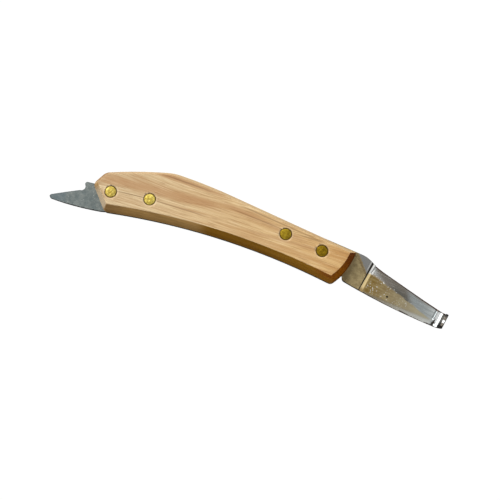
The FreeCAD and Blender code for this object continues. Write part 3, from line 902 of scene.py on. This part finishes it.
def waviness(place, rates, seed=0.0):
    """Smooth noise from 0 to 1 over a place in mm, with its own rate along each axis."""
    spot = Vector((place.x * rates[0], place.y * rates[1], place.z * rates[2] + seed))
    return 0.5 + 0.5 * noise.noise(spot)


def press_in(shape, depth_at, finishes):
    """Push vertices inwards by a depth in mm, where every face round them has one of these finishes."""
    shape.normal_update()
    moves = []
    for vert in shape.verts:
        if all(f.material_index in finishes for f in vert.link_faces):
            moves.append((vert, vert.normal * depth_at(vert.co) * MM))
    for vert, move in moves:
        vert.co -= move


def mark_rim(shape, wanted):
    """Mark the vertices on wanted sharp edges, so that a material can darken or brighten them."""
    layer = shape.verts.layers.float.new("rim")
    for edge in shape.edges:
        if len(edge.link_faces) == 2 and edge.calc_face_angle() > RIM_ANGLE and wanted(edge.link_faces):
            for vert in edge.verts:
                vert[layer] = 1.0


def new_piece(name, shape, materials, node, crease_angle=CREASE_ANGLE):
    """Turn an edited mesh into a piece that stands for a CAD node and rides on the knife."""
    mesh = bpy.data.meshes.new(name)
    bmesh.ops.triangulate(shape, faces=[f for f in shape.faces if len(f.verts) > 4])
    shape.to_mesh(mesh)
    shape.free()
    for material in materials:
        mesh.materials.append(material)
    mesh.shade_smooth()
    mesh.set_sharp_from_angle(angle=crease_angle)
    piece = bpy.data.objects.new(name, mesh)
    bpy.context.scene.collection.objects.link(piece)
    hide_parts(node)
    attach(piece, BODY)


def wooden_scale(node, seed, outer_z):
    """A scale with hand-sanded faces: slightly wavy and combed along the grain."""
    name = f"{node}_wood"
    sanded, sawn = 0, 1

    def relief(point):
        wave = waviness(point / MM, SAND_RATES, seed)
        comb = waviness(point / MM, COMB_RATES, seed)
        return SAND_WAVE * wave + GRAIN_COMB * comb

    def on_spine(faces):
        shown = all(f.normal.y > -0.1 and f.material_index == sanded for f in faces)
        return shown and any(f.normal.y > 0.2 for f in faces)

    shape = welded_copy(node)
    for face in shape.faces:
        bore = abs(face.normal.z) < UPRIGHT_COSINE
        deep = abs(face.calc_center_median().z - outer_z) > BURIED
        hidden = bore or (deep and abs(face.normal.z) > FLAT_COSINE)
        face.material_index = sawn if hidden else sanded
    for direction, spacing in WOOD_SLICES:
        slice_faces(shape, direction, spacing, {sanded})
    press_in(shape, relief, {sanded})
    mark_rim(shape, on_spine)
    materials = [wood_material(name, seed), bare_wood_material(name + "_bare", seed)]
    new_piece(name, shape, materials, node)


def steel_region(face):
    """Which finish a face of the steel has, from where it lies and how it faces."""
    centre, normal = face.calc_center_median(), face.normal
    along = centre.dot(ALONG)
    if HANDLE_BUTT_X + TANG_MARGIN < centre.x < HANDLE_FRONT_X - TANG_MARGIN:
        return "tang"
    if centre.x < 0:
        return "pick" if abs(normal.z) > 0.5 else "edges"
    if along > HOOK_START - LEVEL:
        if centre.z > LIP_Z and normal.z > 0.8:
            return "lip"
        return "hook" if abs(normal.dot(ACROSS)) < 0.5 else "edges"
    if normal.z < -0.5:
        return "back"
    if abs(normal.z) < 0.35 and abs(normal.dot(ALONG)) < 0.8:
        return "edges"
    if along < SHOULDER + LEVEL and normal.z > 0.9:
        return "ricasso"
    return "shoulder" if along < SHOULDER + COVE_REACH else "blade"


def steel_relief(point):
    """Tumbled pits on the pick, and faint waves from hand grinding on the blade."""
    spot = point / MM
    if point.x < 0:
        pits = noise.noise(spot * PIT_RATE) + 0.5 * noise.noise(spot * SMALL_PIT_RATE)
        return TUMBLE_PITS * max(0.0, pits)
    place = Vector((spot.dot(ALONG), spot.dot(ACROSS), spot.z))
    fade = min(1.0, max(0.0, (HOOK_START - point.dot(ALONG)) / RELIEF_FADE))
    return GRIND_WAVE * waviness(place, GRIND_RATES) * fade


def steel_piece():
    """The one-piece steel: pick, tang, ricasso, blade and hook, each with its own finish."""
    shape = welded_copy("blade_blank")
    for place in (HANDLE_BUTT_X + TANG_MARGIN, HANDLE_FRONT_X - TANG_MARGIN):
        cut_across(shape, X, place, list(shape.faces))
    finishes = steel_materials()
    order = {finish: index for index, finish in enumerate(finishes)}
    for face in shape.faces:
        face.material_index = order[steel_region(face)]
    worked = [order[f] for f in ("pick", "ricasso", "blade", "back")]
    curved = [order[f] for f in ("hook", "shoulder", "lip")]
    slice_faces(shape, ALONG, STEEL_SLICE, worked)
    slice_faces(shape, ACROSS, STEEL_SLICE, worked + curved)
    for finish in worked:
        press_in(shape, steel_relief, {finish})
    mark_rim(shape, lambda faces: any(f.material_index == order["edges"] for f in faces))
    new_piece("steel", shape, finishes.values(), "blade_blank")


def lathe(profile, centre):
    """Closed surface of revolution round a vertical line, from (radius, height) points."""
    shape = bmesh.new()
    angles = [2 * math.pi * k / RIVET_SEGMENTS for k in range(RIVET_SEGMENTS)]
    turn = [Vector((math.cos(angle), math.sin(angle), 0)) for angle in angles]
    rings = []
    for radius, height in profile:
        place = Vector((centre.x, centre.y, height))
        spokes = turn if radius > 0.0 else turn[:1]
        rings.append([shape.verts.new(place + spoke * radius) for spoke in spokes])
    for first, second in zip(rings, rings[1:]):
        for k in range(RIVET_SEGMENTS):
            after = k + 1
            corners = [first[k % len(first)], first[after % len(first)],
                       second[after % len(second)], second[k % len(second)]]
            shape.faces.new([v for i, v in enumerate(corners) if v not in corners[:i]])
    bmesh.ops.recalc_face_normals(shape, faces=shape.faces)
    return shape


def ring_radius(node, low_z, high_z, pick):
    """Largest or smallest radius of a rivet half's vertices between two heights."""
    low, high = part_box(node)
    centre = ((low + high) / 2).xy
    points = [v.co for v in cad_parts[node].data.vertices]
    return pick((p.xy - centre).length for p in points if low_z <= p.z <= high_z)


def crown_profile(head_radius, top, outward):
    """Points from the middle of a rivet's crown over its rounded rim."""
    flat = head_radius - RIM_ROUND
    points = []
    for k in range(CROWN_RINGS):
        radius = flat * k / (CROWN_RINGS - 1)
        points.append((radius, top - outward * CROWN_DROP * (radius / head_radius) ** 2))
    rim_z = points[-1][1]
    for k in range(1, RIM_RINGS + 1):
        angle = math.radians(90 * k / RIM_RINGS)
        drop = RIM_ROUND * (1 - math.cos(angle))
        points.append((flat + RIM_ROUND * math.sin(angle), rim_z - outward * drop))
    return points


def shank_profile(node, seat, foot, outward):
    """Points from under a rivet's head down its pin, or down and back up its tube."""
    low_z, high_z = sorted((foot - outward * LEVEL, foot + outward * MM))
    outer = ring_radius(node, low_z, high_z, max)
    corner = SHANK_CORNER
    points = [(outer + corner, seat), (outer, seat - outward * corner)]
    if node.endswith("_male"):
        return points + [(outer, foot + outward * corner), (outer - corner, foot), (0.0, foot)]
    bore = ring_radius(node, low_z, high_z, min)
    return points + [(outer, foot), (bore, foot), (bore, seat), (0.0, seat)]


def rivet_half(number, half):
    """A rivet half with a hand-set head: a slightly uneven crown with a few shallow dents."""
    node = f"rivet_{number}_{half}"
    low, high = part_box(node)
    centre = (low + high) / 2
    head_radius = (high.x - low.x) / 2
    outward = 1 if half == "male" else -1
    top, foot = (high.z, low.z) if outward > 0 else (low.z, high.z)
    seat = top - outward * HEAD_HEIGHT
    # each dent of each rivet half takes its own place in the noise
    dents = []
    for k in range(DENTS):
        scatter = noise.noise_vector(Vector((number * 3.1 + 0.3, k * 2.3 + 0.7, outward)))
        dents.append(centre.xy + scatter.xy * head_radius * DENT_SCATTER)

    def relief(point):
        uneven = waviness(point / MM, HEAD_RATES, number * 9.0)
        dent = max(math.exp(-((point.xy - place).length / DENT_RADIUS) ** 2) for place in dents)
        return HEAD_UNEVEN * uneven + DENT_DEPTH * dent

    profile = crown_profile(head_radius, top, outward) + [(head_radius, seat)]
    shape = lathe(profile + shank_profile(node, seat, foot, outward), centre)
    crown, rest = 0, 1
    for face in shape.faces:
        near_top = abs(face.calc_center_median().z - top) < HEAD_HEIGHT / 4
        face.material_index = crown if near_top and face.normal.z * outward > 0.5 else rest
    press_in(shape, relief, {crown})
    for face in shape.faces:
        face.material_index = 0
    material = brass_material(f"brass_{number}_{half}", number * 5.0, *BRASS[number])
    new_piece(f"{node}_set", shape, [material], node, RIVET_CREASE_ANGLE)


# ---------------------------------------------------------------- stage

def floor_material():
    """White to the camera, and darker to everything else, so that the steel mirrors something."""
    material = bpy.data.materials.new("floor")
    material.use_nodes = True
    nodes, links = material.node_tree.nodes, material.node_tree.links
    nodes.remove(nodes["Principled BSDF"])
    white = nodes.new("ShaderNodeBsdfDiffuse")
    white.inputs["Color"].default_value = FLOOR_WHITE
    glow = nodes.new("ShaderNodeEmission")
    glow.inputs["Color"].default_value = (1, 1, 1, 1)
    glow.inputs["Strength"].default_value = FLOOR_GLOW
    seen = nodes.new("ShaderNodeMixShader")
    seen.inputs[0].default_value = GLOW_SHARE
    mirrored = nodes.new("ShaderNodeBsdfDiffuse")
    mirrored.inputs["Color"].default_value = FLOOR_MIRRORED
    path = nodes.new("ShaderNodeLightPath")
    choose = nodes.new("ShaderNodeMixShader")
    links.new(white.outputs[0], seen.inputs[1])
    links.new(glow.outputs[0], seen.inputs[2])
    links.new(path.outputs["Is Camera Ray"], choose.inputs[0])
    links.new(mirrored.outputs[0], choose.inputs[1])
    links.new(seen.outputs[0], choose.inputs[2])
    links.new(choose.outputs[0], nodes["Material Output"].inputs["Surface"])
    return material


def add_floor():
    far = FLOOR_REACH
    corners = [(-far, -far, 0), (far, -far, 0), (far, far, 0), (-far, far, 0)]
    mesh = bpy.data.meshes.new("floor")
    mesh.from_pydata(corners, [], [(0, 1, 2, 3)])
    mesh.materials.append(floor_material())
    floor = bpy.data.objects.new("floor", mesh)
    floor.location.z = cad_bounds[0].z - FLOOR_GAP
    bpy.context.scene.collection.objects.link(floor)


def add_softbox(name, direction, size, power):
    light = bpy.data.lights.new(name, "AREA")
    light.shape = "RECTANGLE"
    light.size, light.size_y = size
    light.energy = power
    lamp = bpy.data.objects.new(name, light)
    aim = Vector(direction).normalized()
    lamp.location = aim * SOFTBOX_DISTANCE
    lamp.rotation_mode = "QUATERNION"
    lamp.rotation_quaternion = (-aim).to_track_quat("-Z", "Y")
    bpy.context.scene.collection.objects.link(lamp)


def add_world():
    """A sky that brightens towards the key light, and is plain white where the camera sees it."""
    world = bpy.data.worlds.new("studio")
    bpy.context.scene.world = world
    world.use_nodes = True
    nodes, links = world.node_tree.nodes, world.node_tree.links
    background = nodes["Background"]
    background.inputs["Color"].default_value = (1, 1, 1, 1)
    place = nodes.new("ShaderNodeTexCoord")
    toward = nodes.new("ShaderNodeVectorMath")
    toward.operation = "DOT_PRODUCT"
    toward.inputs[1].default_value = Vector(KEY_DIRECTION).normalized()
    ramp = nodes.new("ShaderNodeMapRange")
    for socket, value in zip(ramp.inputs[1:], SKY_TURN + SKY_STRENGTH):
        socket.default_value = value
    path = nodes.new("ShaderNodeLightPath")
    shown = nodes.new("ShaderNodeMix")
    shown.inputs["B"].default_value = SKY_SEEN
    links.new(place.outputs["Generated"], toward.inputs[0])
    links.new(toward.outputs["Value"], ramp.inputs["Value"])
    links.new(path.outputs["Is Camera Ray"], shown.inputs["Factor"])
    links.new(ramp.outputs["Result"], shown.inputs["A"])
    links.new(shown.outputs["Result"], background.inputs["Strength"])


def add_camera():
    """Almost straight above the knife, leaning a little towards its belly and its blade."""
    back = Vector((math.sin(CAMERA_SIDEWAYS), -math.cos(CAMERA_SIDEWAYS) * math.sin(CAMERA_LEAN),
                   math.cos(CAMERA_SIDEWAYS) * math.cos(CAMERA_LEAN)))
    level = (X - back * back.x).normalized()
    right = math.cos(CAMERA_TURN) * level + math.sin(CAMERA_TURN) * back.cross(level)
    turned = Matrix((right, back.cross(right), back)).transposed().to_4x4()
    target = Vector((CAMERA_X, CAMERA_Y, STEEL_TOP))
    data = bpy.data.cameras.new("camera")
    data.angle = 2 * math.atan(CAMERA_HALF_VIEW / CAMERA_DISTANCE)
    camera = bpy.data.objects.new("camera", data)
    camera.matrix_world = Matrix.Translation(target + back * CAMERA_DISTANCE) @ turned
    bpy.context.scene.collection.objects.link(camera)
    bpy.context.scene.camera = camera


wooden_scale("front_scale", 0.0, SCALE_FRONT[1].z)
wooden_scale("back_scale", 40.0, SCALE_BACK[0].z)
steel_piece()
for number in RIVETS:
    for half in ("male", "female"):
        rivet_half(number, half)

add_floor()
add_world()
for softbox in SOFTBOXES:
    add_softbox(*softbox)
add_camera()
bpy.context.scene.view_settings.view_transform = "Standard"
